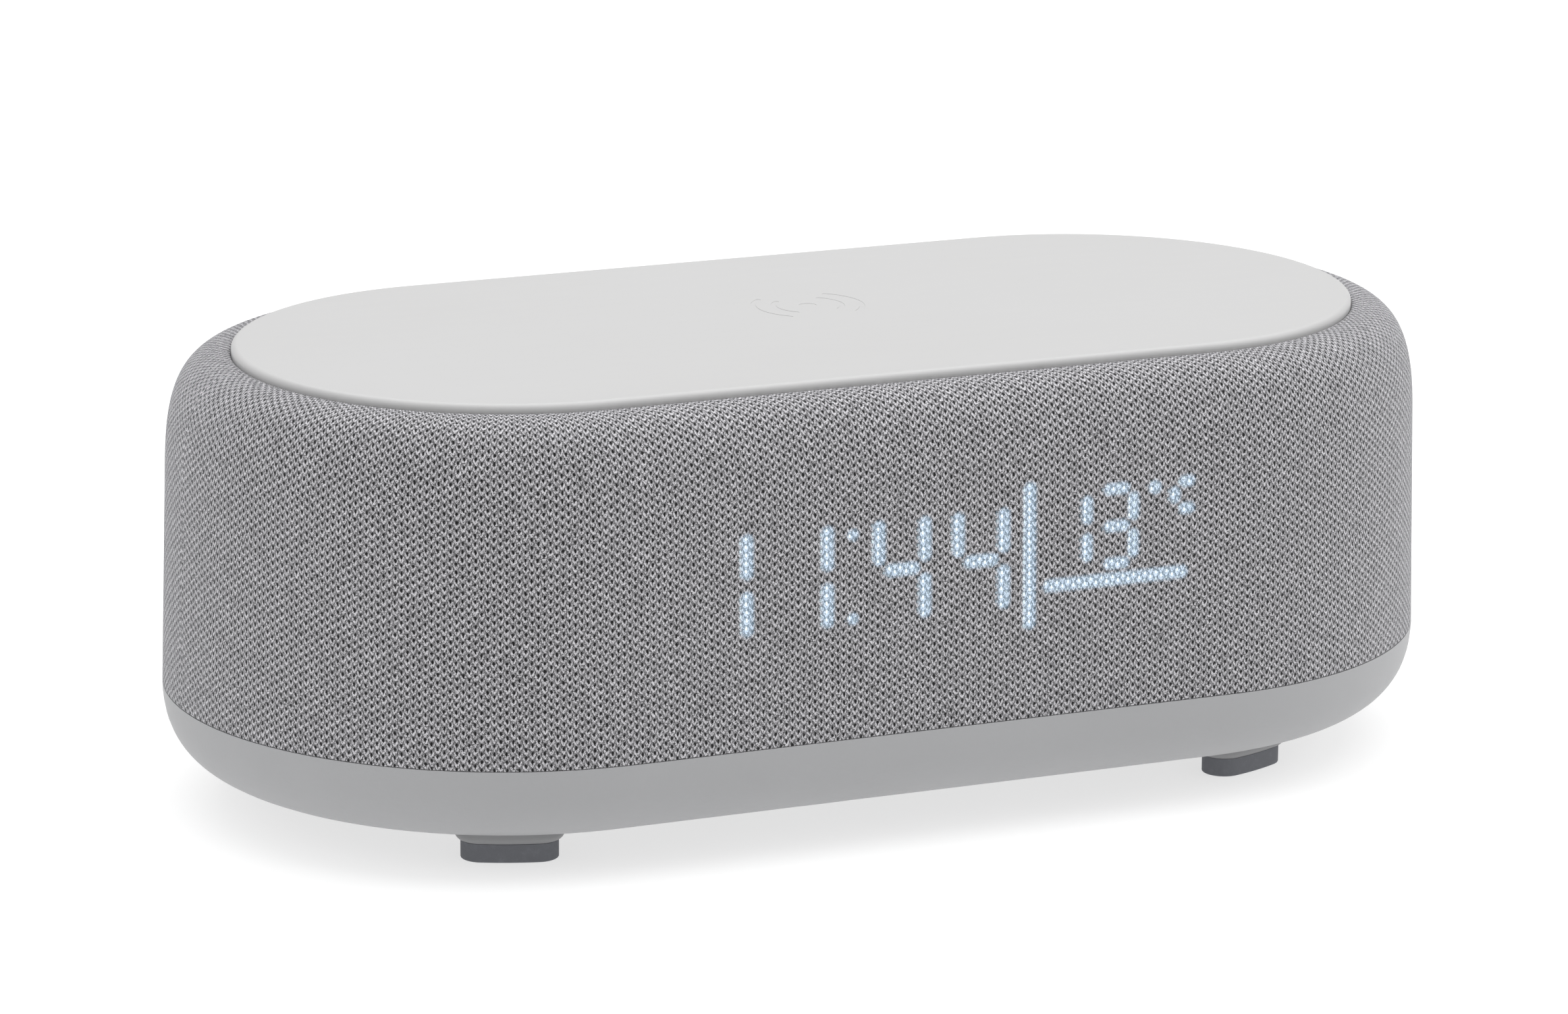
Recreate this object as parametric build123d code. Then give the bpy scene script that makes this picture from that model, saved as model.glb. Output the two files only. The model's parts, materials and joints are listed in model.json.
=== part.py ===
"""Fabric-covered desk clock with a wireless charging deck and two speakers, in millimetres.

+X runs to the right along the long side, -Y is the front with the time display, +Z is up.
The origin is the middle of the footprint, on the surface that the four feet stand on.
Every horizontal outline is a stadium: two half circles joined by straight sides.
"""

import os
from math import cos, degrees, radians, sin

from build123d import *

# ---------------------------------------------------------------- driving dimensions
LENGTH = 220.0
DEPTH = 114.0
HEIGHT = 76.6

END_R = DEPTH / 2  # radius of the stadium's round ends
HALF_STRAIGHT = LENGTH / 2 - END_R  # the ends' centres stand at x = +-this

BASE_Z = 6.0  # underside of the base
HEM_Z = 20.0  # the fabric's lower edge
WALL_TOP_Z = 58.0  # the side wall ends here and the shoulder begins
WALL_LEAN = 1.0  # how far the wall leans in between the hem and the shoulder
SHOULDER_FULLNESS = 0.7  # 0.55 would be an ellipse
BASE_FULLNESS = 0.65
BASE_INSET = 15.0  # the flat underside stands this far inside the outline

FABRIC_T = 0.85
SHELL_T = 2.2
SLIP = 0.15  # clearance between the fabric and the shell under it

TONGUE_R = END_R - 3.6  # the base's tongue, just inside the shell

PLATE_R = 45.0  # end radius of the top plate
PLATE_EDGE = 1.0  # rounding of its upper edge
PLATE_T = 2.0
SEAM_R = 45.2  # the fabric turns down into the seam here
SEAM_Z = 75.2
LEDGE_Z = 72.45  # the plate rests on the shell's ledge at this height
LEDGE_R = 40.0
LEDGE_T = 2.25

CHARGE_X, CHARGE_Y = 3.5, 5.5  # centre of the charging coil and of its mark
MARK_DEPTH = 0.05
CARRIER_PIN = 33.0  # each way in X from the coil's centre to a heat-staked pin
CARRIER_Z = 70.3
CHARGE_BOARD_Z = 62.5

SCREW_R = 1.5
SCREW_SLIP = 0.03

# ---------------------------------------------------------------- feet
FOOT_ORBIT = 37.8  # from an end's centre to the middle of a foot
FOOT_ANGLE = 20.8  # from the Y direction, towards the end
FOOT_LENGTH = 15.9
FOOT_WIDTH = 7.1
FOOT_Z = 3.1  # height of the rubber
FOOT_PAD = 1.0  # the moulded pad stands out this far around the rubber
FOOT_X = HALF_STRAIGHT + FOOT_ORBIT * sin(radians(FOOT_ANGLE))
FOOT_Y = FOOT_ORBIT * cos(radians(FOOT_ANGLE))

# each case screw goes up through a foot pad into a post of the shell
POST_Z = 10.5  # lower end of the post
HEAD_R, HEAD_Z = 2.8, 7.0  # radius of the screw's head and height of its seat

# ---------------------------------------------------------------- display
DISPLAY_X, DISPLAY_Z = 1.4, 47.4
REFLECTOR = (92.8, 27.4)
REFLECTOR_FRONT = -54.6
REFLECTOR_T = 7.0
BOARD_FRONT = REFLECTOR_FRONT + REFLECTOR_T  # front face of the display board
DISPLAY_STUD_X = (DISPLAY_X - 49.5, DISPLAY_X + 49.5)
DISPLAY_STUD_Z = (30.5, 65.0)
STROKE = 1.9  # width of a large digit's stroke
THIN_STROKE = 1.7  # and of a small digit's
INSERT_T = 2.0
CHIP = 0.5  # half the width of a light-emitting chip
BIG_WIDTH, BIG_HALF, BIG_MIDDLE = 8.1, 9.3, 47.2
SMALL_WIDTH, SMALL_HALF, SMALL_MIDDLE = 6.1, 6.2, 50.6
BIG_LEFT = (-42.4, -28.4, -11.3, 2.7)  # left strokes of the four large digits
SMALL_LEFT = (19.65, 28.0)
BIG_GAP, SMALL_GAP = 1.1, 0.85  # from a corner of a digit to the end of a stroke
SHOWN = {"1": "bc", "4": "fgbc", "3": "abgcd"}
TIME_SHOWN, HEAT_SHOWN = "1144", "13"

# ---------------------------------------------------------------- rear panel
PANEL_Z = 41.0
PANEL = (92.0, 26.0)
PANEL_FACE = 56.0
PANEL_T = 2.2
BUTTON_Z = 47.0
BUTTON_X = (-35.5, -21.3, -7.1, 7.1, 21.3, 35.5)
BUTTON_NAMES = ("power", "alarm", "set", "minus", "plus", "light")
BUTTON = (10.0, 5.5)
BUTTON_SLIP = 0.25
BUTTON_PROUD = 0.8
BUTTON_TRAVEL = 0.5
SIGN_DEPTH = 0.15
PORT_Z = 35.0
CARD_X, RESET_X, USB_X, MIC_X, AUX_X = -27.0, -12.5, 0.0, 13.0, 27.0
BOARD_FACE = 40.0  # outer face of the main board
BOARD_T = 1.6
PLUNGER_END = BOARD_FACE + 4.4  # where a key switch's plunger ends
PANEL_POST_X = (-28.4, 28.4)
AUX_R = 1.8

# ---------------------------------------------------------------- speakers
SPEAKER_Z = 41.0
BAFFLE_X, BAFFLE_T = 97.5, 2.5
YOKE_X = BAFFLE_X - 23.2  # rear of the speaker's yoke
SPEAKER_HOLE_R = 18.6
FLANGE_R = 21.0
LUG_REACH = 15.0  # each way from the axis to a speaker screw

# ---------------------------------------------------------------- battery
CELL_R, CELL_LENGTH, CELL_Y, CELL_Z = 9.2, 65.2, 9.7, 18.6
TRAY_STUD_X = (-28.0, 28.0)
TRAY_STUD_Y = 26.5

NODES = {}
INNER_SCREWS = []


def keep(name, shape):
    """Files a finished sub-part under its node name."""
    NODES[name] = shape
    return shape


# ---------------------------------------------------------------- stadium helpers
def around(section):
    """Carries a section, drawn with x as the distance from the spine, round the stadium."""
    turned = revolve(section, Axis.Z, 180)
    right = Pos(HALF_STRAIGHT, 0, 0) * Rot(0, 0, -90) * turned
    left = Pos(-HALF_STRAIGHT, 0, 0) * Rot(0, 0, 90) * turned
    back_face = Pos(-HALF_STRAIGHT, 0, 0) * Rot(0, 0, 90) * section
    back = extrude(back_face, 2 * HALF_STRAIGHT, dir=(1, 0, 0))
    front_face = Pos(-HALF_STRAIGHT, 0, 0) * Rot(0, 0, -90) * section
    front = extrude(front_face, 2 * HALF_STRAIGHT, dir=(1, 0, 0))
    return right + left + back + front


def stadium(r, z, height):
    """A straight-sided stadium of end radius r standing on z."""
    return Pos(0, 0, z) * extrude(SlotCenterToCenter(2 * HALF_STRAIGHT, 2 * r), height)


def face_xz(*edges):
    """A face from edges drawn as (distance from the spine, height)."""
    return make_face(Plane.XZ * Curve(edges))


def wall_points(inset):
    """Hem, shoulder start and seam of the side profile, moved in by inset."""
    hem = (END_R - inset, HEM_Z)
    shoulder = (END_R - WALL_LEAN - inset, WALL_TOP_Z)
    seam = (SEAM_R + inset, SEAM_Z - inset)
    return hem, shoulder, seam


def shoulder_curve(start, end):
    """The soft shoulder from the top of the wall to the seam."""
    rise, run = end[1] - start[1], start[0] - end[0]
    slope = WALL_LEAN / (WALL_TOP_Z - HEM_Z)
    reach = SHOULDER_FULLNESS * rise
    first = (start[0] - slope * reach, start[1] + reach)
    second = (end[0] + SHOULDER_FULLNESS * run, end[1])
    return Bezier(start, first, second, end)


def base_curve(inset):
    """The base's rounded lower corner, from its flat underside to the hem."""
    start = (END_R - BASE_INSET, BASE_Z + inset)
    end = (END_R - inset, HEM_Z)
    first = (start[0] + BASE_FULLNESS * (end[0] - start[0]), start[1])
    second = (end[0], end[1] - BASE_FULLNESS * (end[1] - start[1]))
    return Bezier(start, first, second, end)


def foot_outline(grow):
    """A short arc-shaped bar that follows the round end; it is drawn for the front right foot."""
    half_angle = degrees((FOOT_LENGTH - FOOT_WIDTH) / 2 / FOOT_ORBIT)
    arc = CenterArc((0, 0), FOOT_ORBIT, -90 + FOOT_ANGLE - half_angle, 2 * half_angle)
    return Pos(HALF_STRAIGHT, 0, 0) * SlotArc(arc, FOOT_WIDTH + 2 * grow)


def four_ways(shape):
    """Mirrors a piece drawn at the front right to all four corners."""
    right = [shape, mirror(shape, Plane.XZ)]
    return right + [mirror(s, Plane.YZ) for s in right]


def tube_y(r_out, r_in, y_from, y_to, x, z):
    """A round tube along Y."""
    ring = Circle(r_out) - Circle(r_in) if r_in else Circle(r_out)
    return extrude(Plane((x, y_from, z), z_dir=(0, 1, 0)) * ring, y_to - y_from)


def slot_y(width, height, y_from, y_to, x, z):
    """A stadium bar along Y, wider than it is high."""
    plane = Plane((x, y_from, z), x_dir=(1, 0, 0), z_dir=(0, 1, 0))
    return extrude(plane * SlotOverall(width, height), y_to - y_from)


def block(x, y, z):
    """A box from (low, high) pairs."""
    size = [b - a for a, b in (x, y, z)]
    middle = [(a + b) / 2 for a, b in (x, y, z)]
    return Pos(*middle) * Box(*size)


def wire(points, radii, r):
    """A round wire along straight runs joined by tangent arcs."""
    path = FilletPolyline(*points, radius=radii)
    start = Plane(path @ 0, z_dir=path % 0)
    return sweep(start * Circle(r), path)


# ---------------------------------------------------------------- casing
def make_fabric():
    hem, shoulder, seam = wall_points(0)
    hem_in, shoulder_in, seam_in = wall_points(FABRIC_T)
    fold_r, tuck_z = END_R - 3.5, LEDGE_Z + SLIP
    fold_z = HEM_Z + FABRIC_T
    section = face_xz(
        Line(hem, shoulder),
        shoulder_curve(shoulder, seam),
        Line(seam, (seam[0], tuck_z)),
        Line((seam[0], tuck_z), (seam_in[0], tuck_z)),
        Line((seam_in[0], tuck_z), seam_in),
        shoulder_curve(shoulder_in, seam_in),
        Line(shoulder_in, (hem_in[0], fold_z)),
        Line((hem_in[0], fold_z), (fold_r, fold_z)),
        Line((fold_r, fold_z), (fold_r, HEM_Z)),
        Line((fold_r, HEM_Z), hem),
    )
    opening = slot_y(PANEL[0] + 0.6, PANEL[1] + 0.6, END_R - 8, END_R + 2, 0, PANEL_Z)
    return keep("fabric_cover", around(section) - opening)


def make_shell():
    """The rigid inner shell: wall, shoulder, ledge for the plate, speaker baffles and posts."""
    foot_z = HEM_Z + FABRIC_T + SLIP
    hem, shoulder, seam = wall_points(FABRIC_T + SLIP)
    hem_in, shoulder_in, _ = wall_points(FABRIC_T + SLIP + SHELL_T)
    ledge_low = LEDGE_Z - LEDGE_T
    inner_top = (SEAM_R + 1.0, ledge_low)
    section = face_xz(
        Line((hem[0], foot_z), shoulder),
        shoulder_curve(shoulder, seam),
        Line(seam, (seam[0], LEDGE_Z)),
        Line((seam[0], LEDGE_Z), (LEDGE_R, LEDGE_Z)),
        Line((LEDGE_R, LEDGE_Z), (LEDGE_R, ledge_low)),
        Line((LEDGE_R, ledge_low), inner_top),
        shoulder_curve(shoulder_in, inner_top),
        Line(shoulder_in, (hem_in[0], foot_z)),
        Line((hem_in[0], foot_z), (hem[0], foot_z)),
    )
    shell = around(section)

    # baffles: flat walls across both ends, reaching just into the outer wall
    filler_top, filler_r = ledge_low - 4.0, hem_in[0] - 0.4
    for side in (-1, 1):
        x = sorted((side * (BAFFLE_X - BAFFLE_T), side * BAFFLE_X))
        wall = block(x, (-END_R, END_R), (foot_z, filler_top))
        wall &= stadium(filler_r, foot_z, filler_top - foot_z)
        wall -= stadium(END_R, foot_z, 3.0) - stadium(TONGUE_R - 2.0, foot_z, 3.0)
        axis = Plane((x[0] - 1, 0, SPEAKER_Z), z_dir=(1, 0, 0))
        wall -= extrude(axis * Circle(SPEAKER_HOLE_R), BAFFLE_T + 2)
        for a, b in lug_places():
            wall -= extrude(axis * Pos(a, b) * Circle(1.0 + SCREW_SLIP), BAFFLE_T + 2)
        shell += wall

    # sound slots through the end walls
    for side in (-1, 1):
        for row in range(7):
            z = SPEAKER_Z + (row - 3) * 5.0
            slot = Rot(0, 90, 0) * SlotOverall(34.0, 2.6, rotation=90)
            slot = Pos(side * (BAFFLE_X + 2.5), 0, z) * slot
            shell -= extrude(slot, side * 12.0, dir=(1, 0, 0))

    # display window, rear opening
    window = block(
        (DISPLAY_X - REFLECTOR[0] / 2 - 0.4, DISPLAY_X + REFLECTOR[0] / 2 + 0.4),
        (-END_R, -END_R + 9),
        (DISPLAY_Z - REFLECTOR[1] / 2 - 0.4, DISPLAY_Z + REFLECTOR[1] / 2 + 0.4),
    )
    shell -= window
    shell -= slot_y(PANEL[0] + 0.8, PANEL[1] + 0.8, END_R - 8, END_R, 0, PANEL_Z)

    # posts that take the case screws, each on a rib from the wall
    post = Pos(FOOT_X, -FOOT_Y, POST_Z) * extrude(Circle(3.6), 30 - POST_Z)
    rib_line = Pos(HALF_STRAIGHT, 0, 0) * Rot(0, 0, -90 + FOOT_ANGLE)
    rib = rib_line * block((FOOT_ORBIT, hem_in[0] + 0.8), (-1.0, 1.0), (foot_z, 30))
    bore = Pos(FOOT_X, -FOOT_Y, POST_Z) * extrude(Circle(SCREW_R + SCREW_SLIP), 12.0)
    for piece in four_ways(post + rib):
        shell += piece
    for piece in four_ways(bore):
        shell -= piece

    # studs that carry the display board
    for x in DISPLAY_STUD_X:
        for z in DISPLAY_STUD_Z:
            stud = tube_y(2.2, 0, -hem_in[0] - 0.2, BOARD_FRONT, x, z)
            shell += stud
            shell -= tube_y(0.8 + SCREW_SLIP, 0, BOARD_FRONT - 5, BOARD_FRONT, x, z)
    return keep("inner_shell", shell)


def make_base():
    """The moulded bowl under the fabric, with foot pads and a tongue that locates the shell."""
    rim_in = TONGUE_R
    floor = BASE_Z + SHELL_T
    outer = face_xz(
        Line((0, BASE_Z), (END_R - BASE_INSET, BASE_Z)),
        base_curve(0),
        Line((END_R, HEM_Z), (0, HEM_Z)),
        Line((0, HEM_Z), (0, BASE_Z)),
    )
    inner_start = (END_R - BASE_INSET - 1.0, floor)
    inner_end = (rim_in, HEM_Z)
    run, rise = inner_end[0] - inner_start[0], inner_end[1] - inner_start[1]
    cavity = face_xz(
        Line((0, floor), inner_start),
        Bezier(
            inner_start,
            (inner_start[0] + BASE_FULLNESS * run, floor),
            (rim_in, HEM_Z - BASE_FULLNESS * rise),
            inner_end,
        ),
        Line(inner_end, (0, HEM_Z)),
        Line((0, HEM_Z), (0, floor)),
    )
    base = around(outer) - around(cavity)
    tongue = stadium(rim_in, HEM_Z - 2, 5.5) - stadium(rim_in - 1.5, HEM_Z - 2, 5.5)
    base += tongue

    # notches in the tongue, where the shell's ribs pass
    notch = Pos(HALF_STRAIGHT, 0, 0) * Rot(0, 0, -90 + FOOT_ANGLE)
    notch *= block((rim_in - 3, rim_in + 0.01), (-1.5, 1.5), (HEM_Z + 0.4, HEM_Z + 4))
    for piece in four_ways(notch):
        base -= piece

    # foot pads, each with a socket for its rubber
    pad = Pos(0, 0, FOOT_Z) * extrude(foot_outline(FOOT_PAD), BASE_Z - FOOT_Z + 0.5)
    pad = fillet(pad.faces().sort_by(Axis.Z)[0].edges(), 1.4)
    for piece in four_ways(pad):
        base += piece

    # screw seats through the pads
    seat = Pos(FOOT_X, -FOOT_Y, floor - 0.5) * extrude(Circle(5.0), POST_Z - floor + 0.4)
    head = Pos(FOOT_X, -FOOT_Y, FOOT_Z - 1) * extrude(Circle(HEAD_R + 0.2), HEAD_Z + 1 - FOOT_Z)
    shank = Pos(FOOT_X, -FOOT_Y, HEAD_Z - 1) * extrude(Circle(SCREW_R + 0.2), 6)
    for piece in four_ways(seat):
        base += piece
    for piece in four_ways(head + shank):
        base -= piece

    # bosses that hold the battery tray
    for x in TRAY_STUD_X:
        for y in (-TRAY_STUD_Y, TRAY_STUD_Y):
            base += Pos(x, y, floor - 0.3) * extrude(Circle(2.6), 3.3)
            base -= Pos(x, y, floor) * extrude(Circle(1.0 + SCREW_SLIP), 3.0)
    return keep("base_bowl", base)


def make_feet():
    rubber = extrude(foot_outline(0), FOOT_Z)
    rubber = fillet(rubber.faces().sort_by(Axis.Z)[0].edges(), 0.25)
    names = ("foot_front_right", "foot_rear_right", "foot_front_left", "foot_rear_left")
    for name, piece in zip(names, four_ways(rubber)):
        keep(name, piece)

    cross = extrude(Rectangle(3.4, 0.8) + Rectangle(0.8, 3.4), 1.1)
    head = extrude(Circle(HEAD_R), 2.0) - cross
    shank = Pos(0, 0, 1.5) * extrude(Circle(SCREW_R), 14.0)
    screw = Pos(FOOT_X, -FOOT_Y, HEAD_Z - 2.0) * (head + shank)
    keep("case_screws", Compound(children=four_ways(screw)))


def charge_mark():
    """The sunken mark over the coil: two pairs of arcs round a dot."""
    mark = Circle(1.5)
    for radius in (5.8, 9.2):
        for turn in (0, 180):
            arc = CenterArc((0, 0), radius, turn - 48, 96)
            mark += SlotArc(arc, 0.9)
    return mark


def make_top_plate():
    plate = stadium(PLATE_R, LEDGE_Z, HEIGHT - LEDGE_Z)
    plate = fillet(plate.faces().sort_by(Axis.Z)[-1].edges(), PLATE_EDGE)
    under = HEIGHT - PLATE_T
    plate -= stadium(PLATE_R - 2.6, LEDGE_Z, under - LEDGE_Z)
    plate -= Pos(CHARGE_X, CHARGE_Y, HEIGHT - MARK_DEPTH) * extrude(charge_mark(), 1)

    # snap hooks that catch under the ledge, four on each long side
    for x in (-45.0, -15.0, 15.0, 45.0):
        for side in (-1, 1):
            leg_y = sorted((side * (LEDGE_R - 1.8), side * (LEDGE_R - 0.3)))
            barb_y = sorted((side * (LEDGE_R - 0.4), side * (LEDGE_R + 0.9)))
            low = LEDGE_Z - LEDGE_T - 0.2
            plate += block((x - 3, x + 3), leg_y, (low - 1.8, under + 0.3))
            plate += block((x - 3, x + 3), barb_y, (low - 1.4, low))

    # pins that are heat-staked through the coil carrier
    for dx in (-CARRIER_PIN, CARRIER_PIN):
        for dy in (-CARRIER_PIN + 5, CARRIER_PIN - 5):
            pin = Pos(CHARGE_X + dx, CHARGE_Y + dy, CARRIER_Z - 0.8)
            plate += pin * extrude(Circle(1.1), under - CARRIER_Z + 1.0)
    return keep("top_plate", plate)


# ---------------------------------------------------------------- wireless charger
def make_charger():
    centre = Pos(CHARGE_X, CHARGE_Y, 0)
    under = HEIGHT - PLATE_T
    coil_z = under - 1.3
    turns = []
    turn_pitch, first_r = 1.35, 11.0
    for i in range(11):
        r = first_r + i * turn_pitch
        turns.append(centre * Pos(0, 0, coil_z + 0.6) * Torus(r, 0.58))
    keep("charging_coil", Compound(children=turns))

    ferrite = centre * Pos(0, 0, coil_z - 0.8) * extrude(RectangleRounded(54, 54, 3), 0.75)
    keep("ferrite_sheet", ferrite)

    tray = extrude(RectangleRounded(60, 60, 4), coil_z - 0.85 - CARRIER_Z + 1.6)
    tray -= Pos(0, 0, 1.6) * extrude(RectangleRounded(55, 55, 3), 5)
    for dx in (-CARRIER_PIN, CARRIER_PIN):
        for dy in (-CARRIER_PIN + 5, CARRIER_PIN - 5):
            tray += Pos(dx, dy, 0) * extrude(Circle(3.2), 1.6)
            tray += Pos((dx + (28 if dx > 0 else -28)) / 2, dy, 0.8) * Box(abs(dx) - 28, 5, 1.6)
            tray -= Pos(dx, dy, 0) * extrude(Circle(1.15), 2)
    post_h = CARRIER_Z - CHARGE_BOARD_Z - BOARD_T
    for dx in (-19, 19):
        for dy in (-14, 14):
            tray += Pos(dx, dy, -post_h) * extrude(Circle(2.0), post_h)
    keep("coil_carrier", centre * Pos(0, 0, CARRIER_Z) * tray)

    board = centre * Pos(0, 0, CHARGE_BOARD_Z) * extrude(RectangleRounded(44, 34, 1.5), BOARD_T)
    keep("charging_board", board)
    parts = [
        block((-14, -4), (-5, 5), (-4.4, 0)),
        block((2, 9), (-3.5, 3.5), (-1.0, 0)),
        block((13, 18), (-11, -6), (-2.0, 0)),
        block((13, 18), (-3, 2), (-2.0, 0)),
        block((-2, 2), (8, 12), (-1.6, 0)),
        block((-17, -12), (9, 12), (-1.2, 0)),
        block((4, 12), (8.5, 13.5), (-4.0, 0)),
    ]
    keep("charging_parts", Compound(children=[centre * Pos(0, 0, CHARGE_BOARD_Z) * p for p in parts]))


# ---------------------------------------------------------------- display
def bars_of_digit(left, width, half, middle, gap):
    """Each stroke of a seven-stroke digit as (x from, z from, x to, z to), by letter."""
    right = left + width
    top, low = middle + half, middle - half
    return {
        "a": (left + gap, top, right - gap, top),
        "b": (right, middle + gap, right, top - gap),
        "c": (right, low + gap, right, middle - gap),
        "d": (left + gap, low, right - gap, low),
        "e": (left, low + gap, left, middle - gap),
        "f": (left, middle + gap, left, top - gap),
        "g": (left + gap, middle, right - gap, middle),
    }


def display_bars():
    """Two lists, lit and dark, of (x from, z from, x to, z to, width)."""
    lit, dark = [], []
    big = (BIG_WIDTH, BIG_HALF, BIG_MIDDLE, BIG_GAP)
    small = (SMALL_WIDTH, SMALL_HALF, SMALL_MIDDLE, SMALL_GAP)
    for lefts, shown, form, stroke in (
        (BIG_LEFT, TIME_SHOWN, big, STROKE),
        (SMALL_LEFT, HEAT_SHOWN, small, THIN_STROKE),
    ):
        for left, digit in zip(lefts, shown):
            for letter, bar in bars_of_digit(left, *form).items():
                (lit if letter in SHOWN[digit] else dark).append((*bar, stroke))

    # the upright divider and the line under the small digits
    lit.append((15.4, 35.1, 15.4, 59.2, STROKE))
    lit.append((18.0, 41.8, 43.9, 41.8, STROKE))
    # the colon, the degree dot, and the three strokes of the C after it
    lit += [(-15.9, z, -15.9, z, 1.6) for z in (39.9, 53.7)]
    lit.append((38.0, 56.4, 38.0, 56.4, 2.0))
    lit.append((41.6, 53.5, 41.6, 56.0, THIN_STROKE))
    lit += [(42.5, z, 45.1, z, THIN_STROKE) for z in (52.4, 56.9)]
    return lit, dark


def bar_prism(bar, y_from, y_to, grow=0.0):
    """A display stroke with round ends, as a bar along Y; a stroke's length includes its ends."""
    x0, z0, x1, z1, width = bar
    middle = ((x0 + x1) / 2, (z0 + z1) / 2)
    long = max(abs(x1 - x0), abs(z1 - z0))
    size = width + 2 * grow
    plane = Plane((middle[0], y_from, middle[1]), x_dir=(1, 0, 0), z_dir=(0, 1, 0))
    if long < width + 0.3:
        return extrude(plane * Circle(size / 2), y_to - y_from)
    turn = 0 if abs(x1 - x0) > abs(z1 - z0) else 90
    outline = SlotOverall(long + 2 * grow, size, rotation=turn)
    return extrude(plane * outline, y_to - y_from)


def make_display():
    lit, dark = display_bars()
    front, back = REFLECTOR_FRONT, BOARD_FRONT
    middle_y = (front + back) / 2
    body = Pos(DISPLAY_X, middle_y, DISPLAY_Z) * Box(REFLECTOR[0], REFLECTOR_T, REFLECTOR[1])
    body -= [bar_prism(b, front, back) for b in lit + dark]
    keep("display_reflector", body)
    for name, bars in (("lit_strokes", lit), ("dark_strokes", dark)):
        inserts = [bar_prism(b, front, front + INSERT_T, -0.04) for b in bars]
        keep(name, Compound(children=inserts))

    film = Pos(DISPLAY_X, front - 0.08, DISPLAY_Z) * Box(REFLECTOR[0] - 0.6, 0.15, REFLECTOR[1] - 0.6)
    keep("diffuser_film", film)

    board_x = (DISPLAY_STUD_X[0] - 3, DISPLAY_STUD_X[1] + 3)
    board_z = (DISPLAY_STUD_Z[0] - 3, DISPLAY_STUD_Z[1] + 3)
    board = block(board_x, (back, back + BOARD_T), board_z)
    for x in DISPLAY_STUD_X:
        for z in DISPLAY_STUD_Z:
            board -= tube_y(1.0, 0, back, back + BOARD_T, x, z)
            head = tube_y(1.8, 0, back + BOARD_T, back + BOARD_T + 1.1, x, z)
            INNER_SCREWS.append(head + tube_y(0.8, 0, back - 4, back + BOARD_T, x, z))
    keep("display_board", board)

    chips = []
    for x0, z0, x1, z1, _ in lit + dark:
        count = 5 if abs(x1 - x0) + abs(z1 - z0) > 20 else 1
        for i in range(count):
            share = (i + 0.5) / count
            x, z = x0 + (x1 - x0) * share, z0 + (z1 - z0) * share
            chips.append(block((x - CHIP, x + CHIP), (back - 0.7, back), (z - CHIP, z + CHIP)))
    keep("display_leds", Compound(children=chips))


# ---------------------------------------------------------------- rear panel and main board
def make_panel():
    wide, high = PANEL
    inner = PANEL_FACE - PANEL_T
    body = slot_y(wide, high, inner - 1.4, PANEL_FACE, 0, PANEL_Z)
    body = fillet(body.faces().sort_by(Axis.Y)[-1].edges(), 0.6)
    body += slot_y(wide + 4, high + 4, inner - 3.0, inner - 1.4, 0, PANEL_Z)
    body -= slot_y(wide - 3, high - 3, inner - 3.0, inner, 0, PANEL_Z)

    # openings for the keys, the three sockets, the microphone and the reset key
    cut = (inner - 1, PANEL_FACE + 4)
    hole = [size + 2 * BUTTON_SLIP for size in BUTTON]
    for x in BUTTON_X:
        body -= slot_y(*hole, *cut, x, BUTTON_Z)
    body -= slot_y(9.5, 3.8, *cut, USB_X, PORT_Z)
    body -= block((CARD_X - 6.2, CARD_X + 6.2), cut, (PORT_Z - 0.9, PORT_Z + 0.9))
    body -= tube_y(3.2, 0, *cut, AUX_X, PORT_Z)
    body -= tube_y(0.6, 0, *cut, MIC_X, PORT_Z)
    body -= tube_y(0.8, 0, *cut, RESET_X, PORT_Z)

    # two posts that the main board is screwed to
    for x in PANEL_POST_X:
        body += tube_y(2.0, 0, BOARD_FACE, inner + 0.3, x, PANEL_Z)
        body -= tube_y(0.8 + SCREW_SLIP, 0, BOARD_FACE, BOARD_FACE + 8, x, PANEL_Z)
    keep("rear_panel", body)


def key_symbols():
    """The plain sign on each key cap, by the key's name, drawn with x to the viewer's right."""
    stroke, size = 0.35, 1.2
    bar = Rectangle(2 * size, stroke)
    ring = Circle(size) - Circle(size - stroke)
    gap = Pos(0, size) * Rectangle(1.0, size)
    rays = [Rot(0, 0, 45 * i) * Pos(size + 0.15, 0) * Rectangle(0.5, stroke) for i in range(8)]
    return {
        "power": ring - gap + Pos(0, 0.9 * size) * Rectangle(stroke, size),
        "alarm": ring + Pos(0, 0.3) * Rectangle(stroke, 0.9) + Pos(0.3, 0) * Rectangle(0.8, stroke),
        "set": Circle(0.3) + Pos(-size, 0) * Circle(0.3) + Pos(size, 0) * Circle(0.3),
        "minus": bar,
        "plus": bar + Rectangle(stroke, 2 * size),
        "light": Circle(0.6) + rays,
    }


def make_buttons():
    inner = PANEL_FACE - PANEL_T
    top = PANEL_FACE + BUTTON_PROUD
    signs = key_symbols()
    for name, x in zip(BUTTON_NAMES, BUTTON_X):
        cap = slot_y(*BUTTON, inner - 0.4, top, x, BUTTON_Z)
        cap = fillet(cap.faces().sort_by(Axis.Y)[-1].edges(), 0.5)
        seen = Plane((x, top + 0.5, BUTTON_Z), x_dir=(-1, 0, 0), z_dir=(0, 1, 0))
        cap -= extrude(seen * signs[name], -0.5 - SIGN_DEPTH)
        flange = slot_y(BUTTON[0] + 2.0, BUTTON[1] + 2.0, inner - 1.2, inner - 0.1, x, BUTTON_Z)
        stem = tube_y(1.5, 0, PLUNGER_END + BUTTON_TRAVEL + 0.05, inner - 1.0, x, BUTTON_Z)
        keep(f"button_{name}", cap + flange + stem)


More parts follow.
